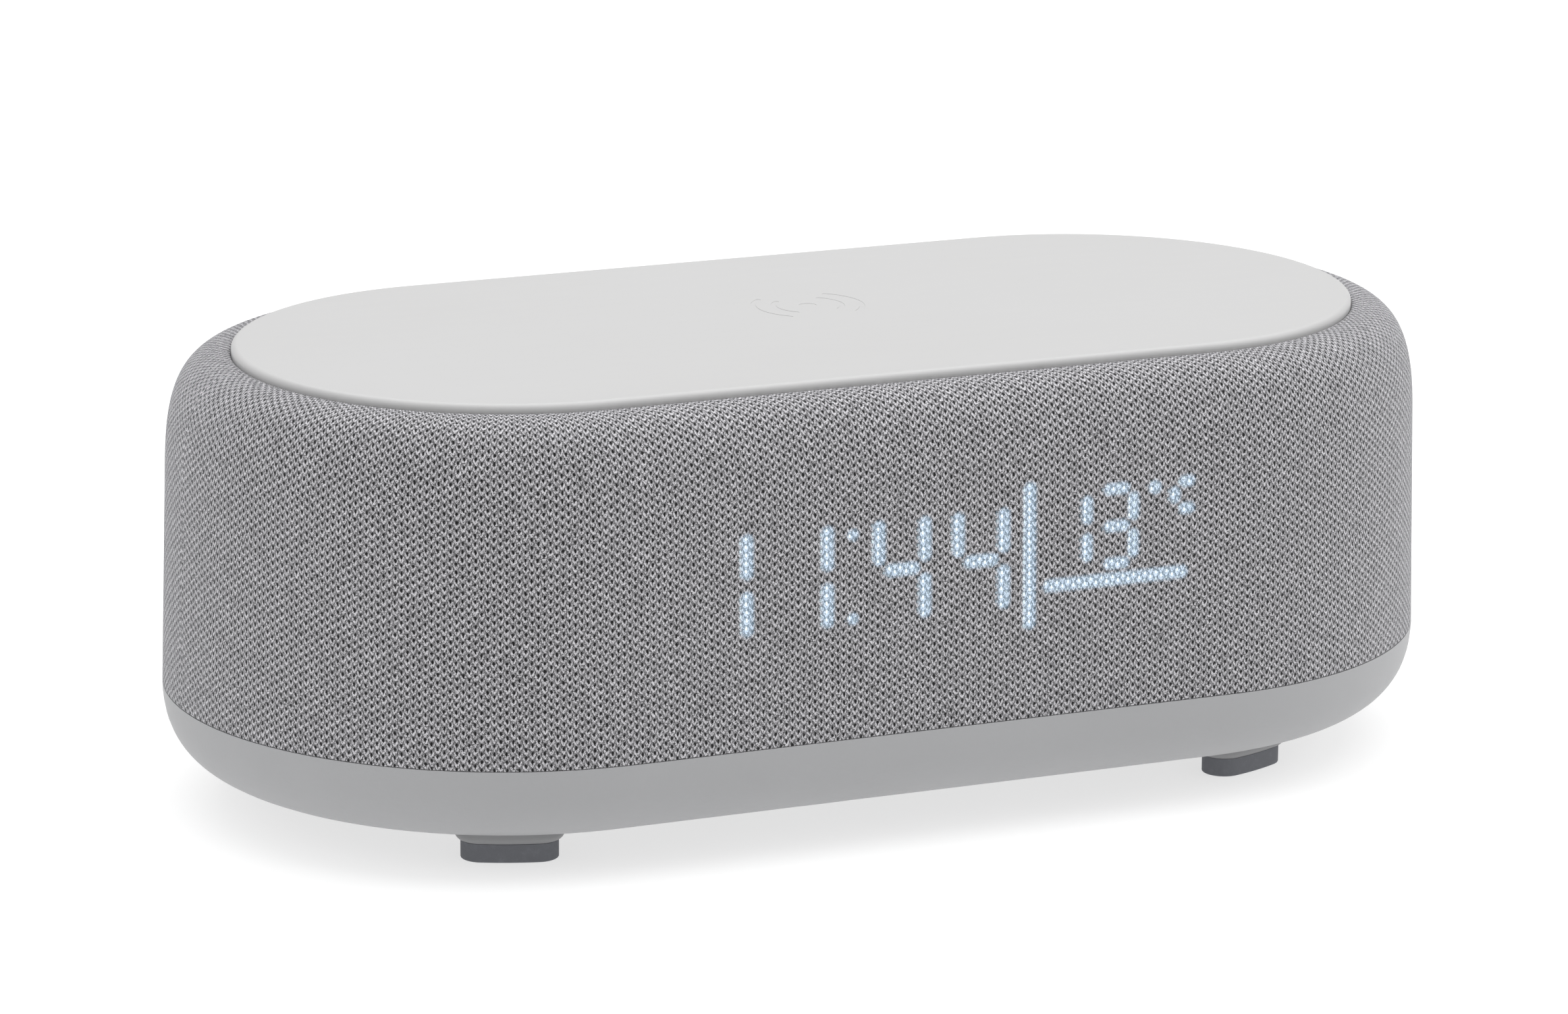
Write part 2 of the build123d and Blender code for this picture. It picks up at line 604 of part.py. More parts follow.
def make_main_board():
    y = (BOARD_FACE - BOARD_T, BOARD_FACE)
    board = block((-46, 46), y, (27.5, 54.5))
    for x in PANEL_POST_X:
        board -= tube_y(1.0, 0, y[0], y[1], x, PANEL_Z)
        head = tube_y(1.8, 0, y[0] - 1.1, y[0], x, PANEL_Z)
        INNER_SCREWS.append(head + tube_y(0.8, 0, y[0], BOARD_FACE + 6, x, PANEL_Z))
    keep("main_board", board)
    make_board_parts()


def make_board_parts():
    """Everything that is soldered to the two faces of the main board."""
    box_end = BOARD_FACE + 3.5
    switches = []
    for x in BUTTON_X:
        box = block((x - 3, x + 3), (BOARD_FACE, box_end), (BUTTON_Z - 3, BUTTON_Z + 3))
        switches.append(box + tube_y(1.7, 0, box_end, PLUNGER_END, x, BUTTON_Z))

    shell = slot_y(8.94, 3.26, BOARD_FACE, PANEL_FACE - 0.5, USB_X, PORT_Z)
    shell -= slot_y(8.34, 2.66, BOARD_FACE + 6, PANEL_FACE, USB_X, PORT_Z)
    reach = (BOARD_FACE + 5, PANEL_FACE - 1.4)
    tongue = block((USB_X - 3.3, USB_X + 3.3), reach, (PORT_Z - 0.35, PORT_Z + 0.35))
    keep("usb_socket", shell + tongue)

    body = (BOARD_FACE, PANEL_FACE - 2.4)
    jack = block((AUX_X - 3.4, AUX_X + 3.4), body, (PORT_Z - 2.9, PORT_Z + 2.9))
    jack += tube_y(2.9, 0, PANEL_FACE - 2.5, PANEL_FACE - 0.3, AUX_X, PORT_Z)
    jack -= tube_y(AUX_R, 0, BOARD_FACE + 1.2, PANEL_FACE, AUX_X, PORT_Z)
    keep("aux_socket", jack)

    deep = (BOARD_FACE, PANEL_FACE - 2.5)
    card = block((CARD_X - 7, CARD_X + 7), deep, (PORT_Z - 1.1, PORT_Z + 1.1))
    slot = (BOARD_FACE + 1, PANEL_FACE)
    card -= block((CARD_X - 5.7, CARD_X + 5.7), slot, (PORT_Z - 0.55, PORT_Z + 0.55))
    keep("card_socket", card)

    reset = block((RESET_X - 2, RESET_X + 2), (BOARD_FACE, BOARD_FACE + 1.8), (PORT_Z - 2, PORT_Z + 2))
    keep("key_switches", Compound(children=[*switches, reset]))
    keep("microphone", tube_y(2.0, 0, BOARD_FACE, BOARD_FACE + 1.6, MIC_X, PORT_Z))

    back = BOARD_FACE - BOARD_T
    chips = [
        block((-6, 4), (back - 1.0, back), (43, 53)),
        block((8, 14), (back - 1.0, back), (45, 51)),
        block((17, 24), (back - 3.0, back), (44, 51)),
        tube_y(3.1, 0, back - 7, back, -14, 48),
        tube_y(3.1, 0, back - 7, back, -22, 48),
        block((-44, -36), (back - 4.5, back), (44, 50)),
        block((36, 44), (back - 4.5, back), (44, 50)),
        block((-38, -32), (back - 4.5, back), (29.5, 33.5)),
        block((33, 39), (back - 4.5, back), (29.5, 33.5)),
    ]
    keep("main_board_parts", Compound(children=chips))
    behind = BOARD_FRONT + BOARD_T
    sockets = [
        block((-8, 8), (back - 2.4, back), (34.2, 37.4)),
        block((-8, 8), (behind, behind + 2.4), (34.2, 37.4)),
    ]
    keep("ribbon_sockets", Compound(children=sockets))
    keep("temperature_sensor", Pos(40, back - 1.6, 37.5) * Sphere(1.6))


def make_ribbon():
    """The flat cable between the two boards, sagging a little over the battery."""
    start = BOARD_FRONT + BOARD_T + 2.4
    end = BOARD_FACE - BOARD_T - 2.4
    middle = (start + end) / 2
    sag, thick, z = 3.0, 0.3, 35.8
    level = ((1, 0), (1, 0))
    upper = Spline((start, z), (middle, z - sag), (end, z), tangents=level)
    low_z = z - thick
    low = Spline((start, low_z), (middle, low_z - sag), (end, low_z), tangents=level)
    sides = Line((start, low_z), (start, z)) + Line((end, z), (end, low_z))
    face = make_face(Plane.YZ * (Curve([upper, low]) + sides))
    keep("ribbon_cable", Pos(-6, 0, 0) * extrude(face, 12, dir=(1, 0, 0)))


# ---------------------------------------------------------------- battery
def make_battery():
    floor = BASE_Z + SHELL_T
    tray = block((-37, 37), (-22.5, 22.5), (floor + 0.1, 16.5))
    for y in (-CELL_Y, CELL_Y):
        cell = Plane((-CELL_LENGTH / 2 - 0.3, y, CELL_Z), z_dir=(1, 0, 0))
        tray -= extrude(cell * Circle(CELL_R + 0.1), CELL_LENGTH + 0.6)
    for x in TRAY_STUD_X:
        for y in (-TRAY_STUD_Y, TRAY_STUD_Y):
            tray += Pos(x, y, floor + 3.1) * extrude(Circle(3.2), 1.6)
            inside = 22.0 if y > 0 else -22.0
            tray += Pos(x, (y + inside) / 2, floor + 3.9) * Box(5, abs(y - inside), 1.6)
            tray -= Pos(x, y, floor + 3.0) * extrude(Circle(1.3), 2)
    keep("battery_tray", tray)
    cells = []
    for y in (-CELL_Y, CELL_Y):
        end = Plane((-CELL_LENGTH / 2, y, CELL_Z), z_dir=(1, 0, 0))
        cell = extrude(end * Circle(CELL_R), CELL_LENGTH)
        cells.append(fillet(cell.edges(), 0.7))
    keep("battery_cells", Compound(children=cells))
    tabs = []
    for side in (-1, 1):
        x = sorted((side * (CELL_LENGTH / 2), side * (CELL_LENGTH / 2 + 0.15)))
        tabs.append(block(x, (-CELL_Y - 3, CELL_Y + 3), (CELL_Z - 1.5, CELL_Z + 3.5)))
    keep("battery_tabs", Compound(children=tabs))
    for x in TRAY_STUD_X:
        for y in (-TRAY_STUD_Y, TRAY_STUD_Y):
            head = Pos(x, y, floor + 4.7) * extrude(Circle(2.2), 1.4)
            INNER_SCREWS.append(head + Pos(x, y, floor + 0.6) * extrude(Circle(1.0), 4.2))


# ---------------------------------------------------------------- speakers
def lug_places():
    """The four speaker screws, on the diagonals of the driver, as offsets from its axis."""
    return [(a, b) for a in (-LUG_REACH, LUG_REACH) for b in (-LUG_REACH, LUG_REACH)]


def turned(*points):
    """A solid of revolution about X from (x, radius) points."""
    return revolve(make_face(Plane.XY * Polyline(*points, close=True)), Axis.X, 360)


def make_speaker(side):
    """A 40 mm driver that faces the end of the case; it is drawn facing +X and mirrored for the left."""

    def place(name, shape):
        shape = Pos(BAFFLE_X, 0, SPEAKER_Z) * shape
        keep(f"{name}_{side}", shape if side == "right" else mirror(shape, Plane.YZ))

    # x is measured from the baffle's outer face, which the flange sits on
    basket = turned(
        (0, 18.2), (0, FLANGE_R), (1.4, FLANGE_R), (1.4, 18.2), (0.5, 18.2), (0.5, 17.4),
        (-6.5, 15.5), (-10.6, 14.2), (-10.6, 9.0), (-12.2, 9.0), (-12.2, 15.6), (-7.0, 17.0),
        (-1.0, 18.4), (0, 18.4),
    )
    for i in range(4):
        basket -= Rot(45 + 90 * i, 0, 0) * Pos(-5.2, 16.5, 0) * Box(6.4, 8, 15)
    for a, b in lug_places():
        lug = Plane((0, a, b), z_dir=(1, 0, 0))
        basket += extrude(lug * Circle(2.9), 1.4)
        basket -= extrude(lug.offset(-1) * Circle(1.2), 4)
    basket -= turned((-0.5, 0), (-0.5, 18.2), (2, 18.2), (2, 0))
    place("speaker_basket", basket)

    washer = turned((-15.2, 8.3), (-15.2, 14.0), (-12.2, 14.0), (-12.2, 8.3))
    place("speaker_magnet", turned((-20.2, 9.2), (-20.2, 15.0), (-15.2, 15.0), (-15.2, 9.2)))
    yoke = turned((-23.2, 0), (-23.2, 14.2), (-20.2, 14.2), (-20.2, 7.0), (-12.0, 7.0), (-12.0, 0))
    place("speaker_poles", Compound(children=[washer, yoke]))
    place("voice_coil", turned((-17.4, 7.35), (-17.4, 7.85), (-7.6, 7.85), (-7.6, 7.35)))
    neck = ((-6.7, 8.0), (-6.7, 7.3), (-7.6, 7.3), (-7.6, 8.3))
    place("speaker_cone", turned(*neck, (-0.6, 15.9), (-0.1, 15.9), (-0.1, 15.2)))
    dome = Spline((-5.5, 9.2), (-3.4, 5.4), (-2.4, 0), tangents=((1, -1), (0, -1)))
    inner = Spline((-2.9, 0), (-3.8, 5.0), (-5.9, 8.7), tangents=((0, 1), (-1, 1)))
    ends = [Line((-2.4, 0), (-2.9, 0)), Line((-5.9, 8.7), (-5.5, 9.2))]
    cap_face = make_face(Plane.XY * Curve([dome, inner, *ends]))
    place("dust_cap", revolve(cap_face, Axis.X, 360))
    roll_out = ThreePointArc((0.0, 15.3), (1.5, 16.75), (0.0, 18.1))
    roll_in = ThreePointArc((0.0, 17.6), (1.05, 16.75), (0.0, 15.9))
    rims = [Line((0, 18.1), (0, 17.6)), Line((0, 15.9), (0, 15.3))]
    ring = make_face(Plane.XY * Curve([roll_out, roll_in, *rims]))
    place("cone_surround", revolve(ring, Axis.X, 360))
    waves = [(-8.6 + (0.5 if i % 2 else -0.5), 7.95 + i * 0.9) for i in range(7)]
    back_waves = [(x - 0.35, r) for x, r in reversed(waves)]
    place("cone_spider", turned(*waves, *back_waves))


def make_speaker_screws():
    for side in (-1, 1):
        for a, b in lug_places():
            plane = Plane((side * BAFFLE_X, a, SPEAKER_Z + b), z_dir=(side, 0, 0))
            head = extrude(plane.offset(1.4) * Circle(1.9), 1.0)
            INNER_SCREWS.append(head + extrude(plane.offset(-4.0) * Circle(1.0), 5.5))


# ---------------------------------------------------------------- wiring
def make_leads():
    """Pairs of wires from the plugs on the main board to the speakers and to the battery."""
    radius, pitch = 0.6, 1.5
    gate = BOARD_FACE - BOARD_T - 4.5
    wires = []
    for side in (-1, 1):
        for shift in (0, pitch):
            x = side * (39.2 + shift)
            points = [
                (x, gate, 47.0),
                (x, 22.0, 47.0),
                (side * (58.0 + shift), 10.0, 47.0 - shift),
                (side * (YOKE_X - 0.7), 5.0, 45.0 - shift),
            ]
            wires.append(wire(points, [4.0, 4.0], radius))
    for shift in (0, pitch):
        x, y = -35.8 + shift, 12.0 - 1.4 * shift
        tab_x = -CELL_LENGTH / 2 - 0.2
        points = [(x, gate, 31.5), (x, y, 31.5), (x, y, 20.0), (tab_x, y, 20.0)]
        wires.append(wire(points, [3.0, 1.2], radius))
    keep("leads", Compound(children=wires))


def main():
    make_fabric()
    make_shell()
    make_base()
    make_feet()
    make_top_plate()
    make_charger()
    make_display()
    make_panel()
    make_buttons()
    make_main_board()
    make_ribbon()
    make_battery()
    for side in ("left", "right"):
        make_speaker(side)
    make_speaker_screws()
    make_leads()
    keep("inner_screws", Compound(children=INNER_SCREWS))

    os.makedirs("parts", exist_ok=True)
    for name, shape in NODES.items():
        export_step(shape, f"parts/{name}.step")
    print(len(NODES), "nodes")


main()
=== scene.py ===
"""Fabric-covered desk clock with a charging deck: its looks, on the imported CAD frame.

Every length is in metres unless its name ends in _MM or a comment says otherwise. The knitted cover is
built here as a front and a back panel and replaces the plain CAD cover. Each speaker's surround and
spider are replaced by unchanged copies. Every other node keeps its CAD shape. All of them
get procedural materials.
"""

import json
import math

import bmesh
import bpy
from mathutils import Matrix, Vector


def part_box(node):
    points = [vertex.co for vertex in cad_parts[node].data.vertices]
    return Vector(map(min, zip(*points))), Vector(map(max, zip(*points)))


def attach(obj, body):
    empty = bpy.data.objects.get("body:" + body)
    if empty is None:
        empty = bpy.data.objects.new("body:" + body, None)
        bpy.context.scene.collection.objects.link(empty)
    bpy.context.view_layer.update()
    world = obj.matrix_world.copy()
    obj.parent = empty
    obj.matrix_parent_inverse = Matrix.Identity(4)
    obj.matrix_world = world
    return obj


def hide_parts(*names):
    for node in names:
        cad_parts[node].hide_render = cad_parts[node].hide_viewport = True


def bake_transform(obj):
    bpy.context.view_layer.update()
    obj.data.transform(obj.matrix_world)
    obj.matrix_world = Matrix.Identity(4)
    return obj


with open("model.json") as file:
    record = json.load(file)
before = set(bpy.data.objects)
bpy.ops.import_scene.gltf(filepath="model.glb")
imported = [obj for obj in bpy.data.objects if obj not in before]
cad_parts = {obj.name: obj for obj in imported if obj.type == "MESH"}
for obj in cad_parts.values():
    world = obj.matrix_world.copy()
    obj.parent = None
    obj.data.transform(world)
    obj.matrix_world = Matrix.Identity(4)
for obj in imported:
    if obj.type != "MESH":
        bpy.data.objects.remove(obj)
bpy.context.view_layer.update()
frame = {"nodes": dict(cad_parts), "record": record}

# ---------------------------------------------------------------- sizes taken from the frame
MM = 0.001
cover_low, cover_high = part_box("fabric_cover")
plate_low, plate_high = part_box("top_plate")
panel_low, panel_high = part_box("rear_panel")

END_R = cover_high[1]
HALF_STRAIGHT = cover_high[0] - END_R
HEM_Z = cover_low[2]
SEAM_Z = cover_high[2]
SEAM_R = plate_high[1] + 0.06 * MM
COVER_LENGTH = END_R * math.pi + 2 * HALF_STRAIGHT  # half of the outline, as one panel covers it

# the cover's side profile, as the CAD cover has it
CLOTH_T = 0.8 * MM
WALL_TOP_Z = HEM_Z + 38 * MM
WALL_LEAN = 1.0 * MM
SHOULDER_FULLNESS = 0.7
TUCK = 2.3 * MM  # how far the cloth goes down into the seam
FOLD = 3.3 * MM  # how far it turns in under the hem
HEM_TURN_R = 0.25 * MM  # radius of the hem's turned edge
HEM_LIFT = 0.04 * MM  # keeps the fold just above the CAD cover's lower edge
TURN_STEPS, WALL_STEPS, SHOULDER_STEPS = 4, 12, 26

# the rear panel's opening in the cloth
PANEL_LIP = 2 * MM
PANEL_CLEARANCE = 0.25 * MM
OPENING_STEPS = 32

# the knit
WALE = 1.0 * MM  # from one column of stitches to the next
COURSE = 1.33 * MM  # from one stitch to the next in a column
RELIEF = 0.2 * MM
SLOPE_START = 0.08  # where a stitch's legs meet, as a share of a course
GAP_AT, GAP_HALF = 0.58, 0.32  # the gap inside each V: its middle and half height, in courses
NICK_AT, NICK_HALF, NICK_HALF_WIDE = 0.10, 0.25, 0.11  # the nick between two columns
SPOT_AT, SPOT_HALF, SPOT_HALF_WIDE = 0.60, 0.30, 0.26  # where light comes straight through
WHITE_SHIFT, BLUE_SHIFT = -0.35, 0.1  # mm sideways, of the light in the gaps and in the yarn

# painted shade: the moulded base is painted darker near the desk, on its foot pads and lowest edge
PAD_PAINTED_SHADE = (6.8 * MM, 5.9 * MM, 0.72)

# the view, with its angles in degrees, and the point that the lamps face
LENS_MM = 144.6
VIEW_AZIMUTH, VIEW_ELEVATION, VIEW_ROLL = -23.93, 14.58, 0.518
VIEW_DISTANCE = 1.0595
VIEW_TARGET = Vector((-2.98, 0.0, 43.5)) * MM
LIGHT_AIM = Vector((0.0, 0.0, 0.04))


# ---------------------------------------------------------------- shader helpers
class Graph:
    """One material under construction; each helper adds a node and returns its output."""

    def __init__(self, name):
        self.material = bpy.data.materials.new(name)
        self.material.use_nodes = True
        self.tree = self.material.node_tree
        self.shader = self.tree.nodes["Principled BSDF"]

    def feed(self, socket, value):
        if isinstance(value, bpy.types.NodeSocket):
            self.tree.links.new(value, socket)
        else:
            socket.default_value = value

    def node(self, kind, feeds=(), **settings):
        made = self.tree.nodes.new(kind)
        for key, value in settings.items():
            setattr(made, key, value)
        for slot, value in feeds:
            self.feed(made.inputs[slot], value)
        return made

    def surface(self, **values):
        """Sets the shader's own sockets, by name with underscores for spaces."""
        for name, value in values.items():
            self.feed(self.shader.inputs[name.replace("_", " ")], value)

    def math(self, operation, a, b=0.0, c=0.0, clamp=False):
        feeds = [(0, a), (1, b), (2, c)]
        return self.node("ShaderNodeMath", feeds, operation=operation, use_clamp=clamp).outputs[0]

    def vector(self, operation, a, b=(0.0, 0.0, 0.0)):
        made = self.node("ShaderNodeVectorMath", [(0, a), (1, b)], operation=operation)
        return made.outputs["Value" if operation == "LENGTH" else "Vector"]

    def smooth(self, value, low, high, to_high=1.0):
        """Eases from 0 at low to to_high at high; low may be the larger of the two."""
        feeds = [("Value", value), ("From Min", low), ("From Max", high), ("To Max", to_high)]
        made = self.node("ShaderNodeMapRange", feeds, interpolation_type="SMOOTHSTEP")
        return made.outputs["Result"]

    def blend(self, factor, a, b):
        """Between two numbers."""
        return self.node("ShaderNodeMix", [(0, factor), (2, a), (3, b)], data_type="FLOAT").outputs[0]

    def colour(self, factor, a, b):
        """Between two colours."""
        feeds = [(0, factor), (6, rgba(a)), (7, rgba(b))]
        return self.node("ShaderNodeMix", feeds, data_type="RGBA").outputs[2]

    def place(self):
        return self.node("ShaderNodeTexCoord").outputs["Object"]

    def noise(self, at, scale, detail=2.0, roughness=0.5):
        feeds = [("Vector", at), ("Scale", scale), ("Detail", detail), ("Roughness", roughness)]
        return self.node("ShaderNodeTexNoise", feeds).outputs[0]

    def bump(self, height, distance, strength):
        feeds = [("Height", height), ("Distance", distance), ("Strength", strength)]
        return self.node("ShaderNodeBump", feeds).outputs[0]


def rgba(value):
    """A colour socket, or a colour given as three numbers, ready for a colour input."""
    if isinstance(value, bpy.types.NodeSocket):
        return value
    return (*value, 1.0)


def tone(share, colour):
    """The colour, darkened or lightened."""
    return tuple(share * c for c in colour)


# ---------------------------------------------------------------- the knit
def lit_strokes():
    """(middle, half of its straight run, radius) of each lit stroke, from the CAD solids, in mm."""
    work = bmesh.new()
    work.from_mesh(frame["nodes"]["lit_strokes"].data)
    bmesh.ops.remove_doubles(work, verts=work.verts, dist=1e-6)
    waiting, found = set(work.verts), []
    while waiting:
        stack, island = [waiting.pop()], []
        while stack:
            vertex = stack.pop()
            island.append(vertex.co.copy() / MM)
            for edge in vertex.link_edges:
                other = edge.other_vert(vertex)
                if other in waiting:
                    waiting.remove(other)
                    stack.append(other)
        xs, zs = [p.x for p in island], [p.z for p in island]
        wide, high = max(xs) - min(xs), max(zs) - min(zs)
        radius = min(wide, high) / 2
        middle = (min(xs) + wide / 2, 0.0, min(zs) + high / 2)
        found.append((middle, (wide / 2 - radius, 0.0, high / 2 - radius), radius))
    work.free()
    return sorted(found)


def distance_to_strokes(graph, shift):
    """How far the cloth's point is from the nearest lit stroke moved sideways by shift, all in mm."""
    scaled = graph.vector("MULTIPLY", graph.place(), (1 / MM, 0.0, 1 / MM))
    scaled = graph.vector("SUBTRACT", scaled, (shift, 0.0, 0.0))
    nearest = None
    for middle, half, radius in lit_strokes():
        off = graph.vector("ABSOLUTE", graph.vector("SUBTRACT", scaled, middle))
        over = graph.vector("MAXIMUM", graph.vector("SUBTRACT", off, half))
        away = graph.math("SUBTRACT", graph.vector("LENGTH", over), radius)
        nearest = away if nearest is None else graph.math("MINIMUM", nearest, away)
    return nearest


def stitch_pattern(graph):
    """Masks of a V-shaped stitch, repeated over the cloth's stitch coordinates.

    u counts columns and v counts stitches. Both wander a little, and every other column is half a
    stitch higher. across is the distance from a column's middle, rise the share of a stitch climbed.
    """
    at = graph.node("ShaderNodeUVMap", uv_map="Stitches").outputs[0]
    drift = graph.noise(at, 0.35, 1.0)
    wander = graph.noise(at, 2.1, 3.0, 0.75)
    parts = graph.node("ShaderNodeSeparateXYZ", [(0, at)]).outputs
    u = graph.math("ADD", parts[0], graph.math("MULTIPLY_ADD", drift, 0.5, -0.25))
    u = graph.math("ADD", u, graph.math("MULTIPLY_ADD", wander, 0.32, -0.16))
    v = graph.math("ADD", parts[1], graph.math("MULTIPLY_ADD", wander, -0.44, 0.22))
    wale = graph.math("FLOOR", u)
    across = graph.math("ABSOLUTE", graph.math("SUBTRACT", graph.math("FRACT", u), 0.5))
    odd = graph.math("PINGPONG", wale, 1.0)
    along = graph.math("MULTIPLY_ADD", odd, 0.5, v)
    course = graph.math("FLOOR", along)
    rise = graph.math("FRACT", along)

    def above(centre):
        """How far up the column from centre, the short way round, down being negative."""
        shifted = graph.math("SUBTRACT", rise, graph.math("SUBTRACT", centre, 0.5))
        return graph.math("SUBTRACT", graph.math("FRACT", shifted), 0.5)

    def ellipse(centre, half_along, sideways, half_sideways):
        """Distance from an ellipse's middle, with 1 at its edge."""
        up = graph.math("DIVIDE", above(centre), half_along)
        out = graph.math("DIVIDE", sideways, half_sideways)
        both = graph.math("MULTIPLY_ADD", up, up, graph.math("MULTIPLY", out, out))
        return graph.math("SQRT", both)

    off_leg = graph.math("ABSOLUTE", above(graph.math("ADD", across, SLOPE_START)))
    leg = graph.smooth(off_leg, 0.33, 0.19)
    side = graph.smooth(across, 0.15, 0.42)

    # the gap inside each V narrows downwards; a smaller nick lies between two columns
    narrowing = graph.math("MULTIPLY_ADD", above(GAP_AT), 0.26, 0.175)
    gap_r = ellipse(GAP_AT, GAP_HALF, across, narrowing)
    nick_r = ellipse(NICK_AT, NICK_HALF, graph.math("SUBTRACT", 0.5, across), NICK_HALF_WIDE)
    gap, nick = graph.smooth(gap_r, 1.05, 0.78), graph.smooth(nick_r, 1.1, 0.7, 0.85)
    hole = graph.math("MAXIMUM", gap, nick)
    spot = graph.smooth(ellipse(SPOT_AT, SPOT_HALF, across, SPOT_HALF_WIDE), 1.1, 0.6)

    # one random number for each stitch
    cell = graph.node("ShaderNodeCombineXYZ", [(0, wale), (1, course)]).outputs[0]
    chance = graph.node("ShaderNodeTexWhiteNoise", [("Vector", cell)], noise_dimensions="2D").outputs[0]
    return {"at": at, "leg": leg, "side": side, "hole": hole, "spot": spot, "chance": chance}


def knit_material(name, glows):
    """Light grey melange knit with painted shade in its hollows and gaps; over the display, the lit
    strokes' light through it is painted on.
    """
    graph = Graph(name)
    stitch = stitch_pattern(graph)
    leg, side, hole = stitch["leg"], stitch["side"], stitch["hole"]

    # melange yarn: single stitches and short runs of a darker fibre, and sharp dark specks
    stretched = graph.vector("MULTIPLY", stitch["at"], (0.42, 0.8, 1.0))
    runs = graph.noise(stretched, 1.1, 3.0, 0.6)
    fibre = graph.noise(stitch["at"], 3.4, 3.0, 0.85)
    fine = graph.noise(graph.vector("MULTIPLY", stitch["at"], (1.4, 1.0, 1.0)), 4.6, 1.0, 0.5)
    speck = graph.smooth(fine, 0.53, 0.60)
    dark_run = graph.smooth(runs, 0.50, 0.72)
    dark_fibre = graph.smooth(fibre, 0.52, 0.34)
    dark_run = graph.math("MULTIPLY", dark_run, 0.5)
    darker = graph.math("MULTIPLY_ADD", dark_fibre, 0.85, dark_run, clamp=True)

    # painted shade: away from the legs the yarn is painted much darker, as shade in the knit's hollows,
    # and nearly black in the gaps, as shade seen through the cloth
    level = graph.math("MULTIPLY_ADD", side, 0.04, 0.22)
    level = graph.blend(leg, level, 0.60)
    level = graph.math("MULTIPLY", level, graph.blend(hole, 1.0, 0.04))
    level = graph.math("MULTIPLY", level, graph.blend(darker, 1.03, 0.55))
    level = graph.math("MULTIPLY", level, graph.blend(speck, 1.05, 0.16))
    level = graph.math("MULTIPLY", level, graph.math("MULTIPLY_ADD", stitch["chance"], 0.16, 0.92))
    green, blue = graph.math("MULTIPLY", level, 0.985), graph.math("MULTIPLY", level, 1.025)
    yarn = graph.node("ShaderNodeCombineColor", [(0, level), (1, green), (2, blue)]).outputs[0]

    height = graph.math("ADD", leg, graph.math("MULTIPLY", side, 0.45))
    height = graph.math("SUBTRACT", height, graph.math("MULTIPLY", hole, 0.8))
    height = graph.math("ADD", height, graph.math("MULTIPLY", fibre, 0.25))
    graph.surface(
        Base_Color=yarn,
        Roughness=graph.blend(hole, 0.82, 0.95),
        Specular_IOR_Level=0.25,
        Sheen_Weight=0.35,
        Sheen_Roughness=0.45,
        Sheen_Tint=(0.95, 0.96, 1.0, 1.0),
        Normal=graph.bump(height, RELIEF, 0.9),
    )
    if glows:
        # painted light: the strokes' light through the cloth is painted on as emission, the white light
        # in the gaps a little to the left of the blue light in the yarn, as seen from this view
        rough = graph.math("MULTIPLY_ADD", fibre, 1.5, -0.75)
        blue_away = graph.math("ADD", distance_to_strokes(graph, BLUE_SHIFT), rough)
        white_away = graph.math("ADD", distance_to_strokes(graph, WHITE_SHIFT), rough)
        blue = graph.smooth(blue_away, 0.65, -0.35)
        white = graph.math("MULTIPLY", graph.smooth(white_away, 0.45, -0.45), stitch["spot"])
        between_legs = graph.math("MULTIPLY", graph.smooth(leg, 0.5, 0.0), 0.35)
        lost = graph.math("MAXIMUM", between_legs, graph.math("MULTIPLY", speck, 0.75))
        lit_yarn = graph.colour(leg, (0.14, 0.23, 0.32), (0.33, 0.45, 0.58))
        shine = graph.colour(white, lit_yarn, (0.95, 1.10, 1.16))
        dimmed = graph.math("MULTIPLY", blue, graph.math("SUBTRACT", 1.0, lost))
        strength = graph.math("MAXIMUM", dimmed, white)
        graph.surface(Emission_Color=shine, Emission_Strength=strength)
        # painted light: the yarn's colour is painted bluer where the strokes' light falls on it
        painted_glow_tint = graph.math("MULTIPLY", blue, 0.5)
        graph.surface(Base_Color=graph.colour(painted_glow_tint, yarn, (0.22, 0.28, 0.34)))
    return graph.material


# ---------------------------------------------------------------- moulded and metal materials
def moulded(name, colour, roughness=0.5, grain=0.02, grain_size=2200.0, painted_shade=None):
    """Moulded plastic: faint mottling, a fine spark-eroded grain and uneven gloss.

    grain is the grain's depth in mm. painted_shade is (height it starts at, height it is full at,
    darkest share): painted shade that darkens the colour towards the bottom, for a piece that stands on
    a desk.
    """
    graph = Graph(name)
    at = graph.place()
    mottle = graph.noise(at, 45.0, 3.0)
    fine = graph.noise(at, grain_size, 2.0, 0.6)
    smear = graph.noise(at, 160.0, 4.0, 0.65)
    shade = graph.math("MULTIPLY_ADD", mottle, 0.06, 0.97)
    paint = graph.colour(graph.math("MULTIPLY", shade, mottle), tone(0.93, colour), colour)
    # painted shade: below the given height the colour darkens towards the desk
    if painted_shade:
        start, full, darkest = painted_shade
        height = graph.node("ShaderNodeSeparateXYZ", [(0, at)]).outputs[2]
        paint = graph.colour(graph.smooth(height, start, full), paint, tone(darkest, colour))
    graph.surface(
        Base_Color=paint,
        Roughness=graph.math("MULTIPLY_ADD", smear, 0.12, roughness - 0.06),
        Normal=graph.bump(fine, grain * MM, 0.8),
    )
    return graph.material


def rubber(name, colour):
    """Matt rubber with a little dust in its grain."""
    graph = Graph(name)
    at = graph.place()
    dust = graph.smooth(graph.noise(at, 700.0, 4.0, 0.7), 0.45, 0.8)
    fine = graph.noise(at, 3500.0, 2.0)
    graph.surface(
        Base_Color=graph.colour(dust, colour, tone(1.25, colour)),
        Roughness=graph.math("MULTIPLY_ADD", dust, 0.15, 0.72),
        Specular_IOR_Level=0.3,
        Normal=graph.bump(fine, 0.03 * MM, 0.8),
    )
    return graph.material


